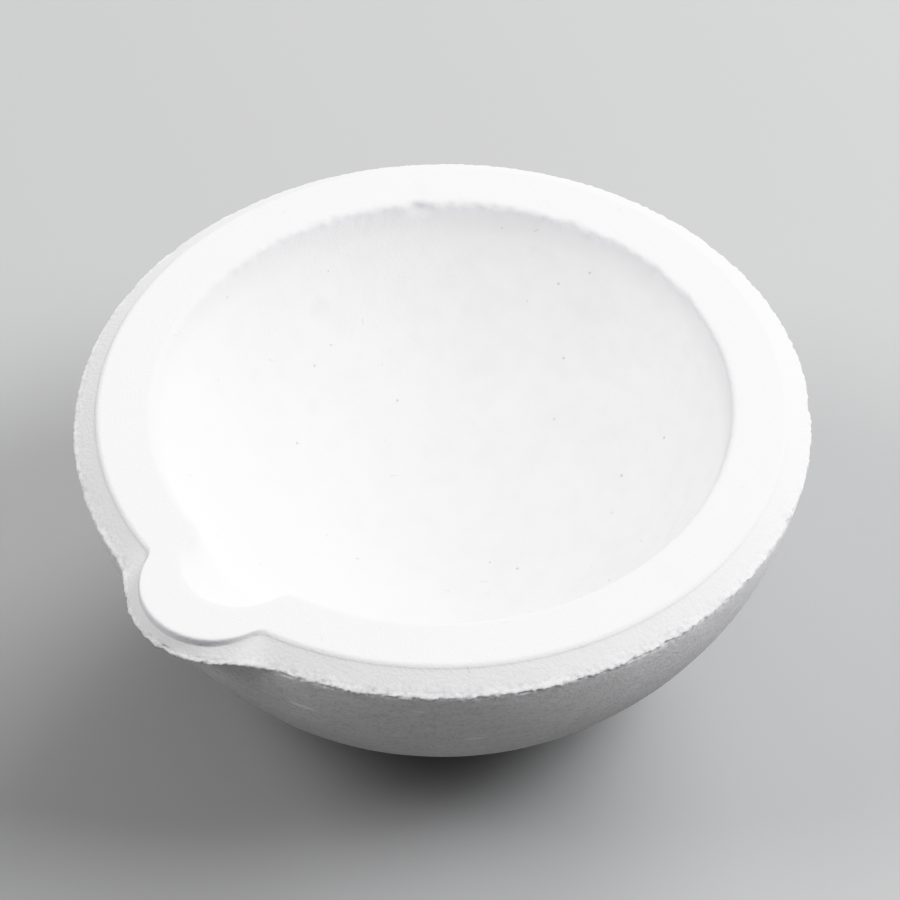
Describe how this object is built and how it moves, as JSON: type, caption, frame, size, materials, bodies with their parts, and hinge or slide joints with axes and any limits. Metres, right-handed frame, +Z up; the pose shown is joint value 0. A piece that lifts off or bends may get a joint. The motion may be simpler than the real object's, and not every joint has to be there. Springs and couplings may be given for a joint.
{
  "type": "evaporating dish",
  "caption": "Thick-walled, round-bottomed white ceramic dish with a wide flat rim and a small grooved pouring lip, for evaporating or melting small charges.",
  "frame": {"origin": "centre of the small flat under the bowl, on the bowl's axis", "axes": "+Z up along the bowl's axis towards the open mouth; the pouring lip points along -Y"},
  "size_m": [0.08, 0.0841, 0.035],
  "materials": {
    "silica_ceramic": "matt, unglazed and slightly grainy"
  },
  "bodies": {
    "root": {"dish": "silica_ceramic"}
  },
  "joints": []
}
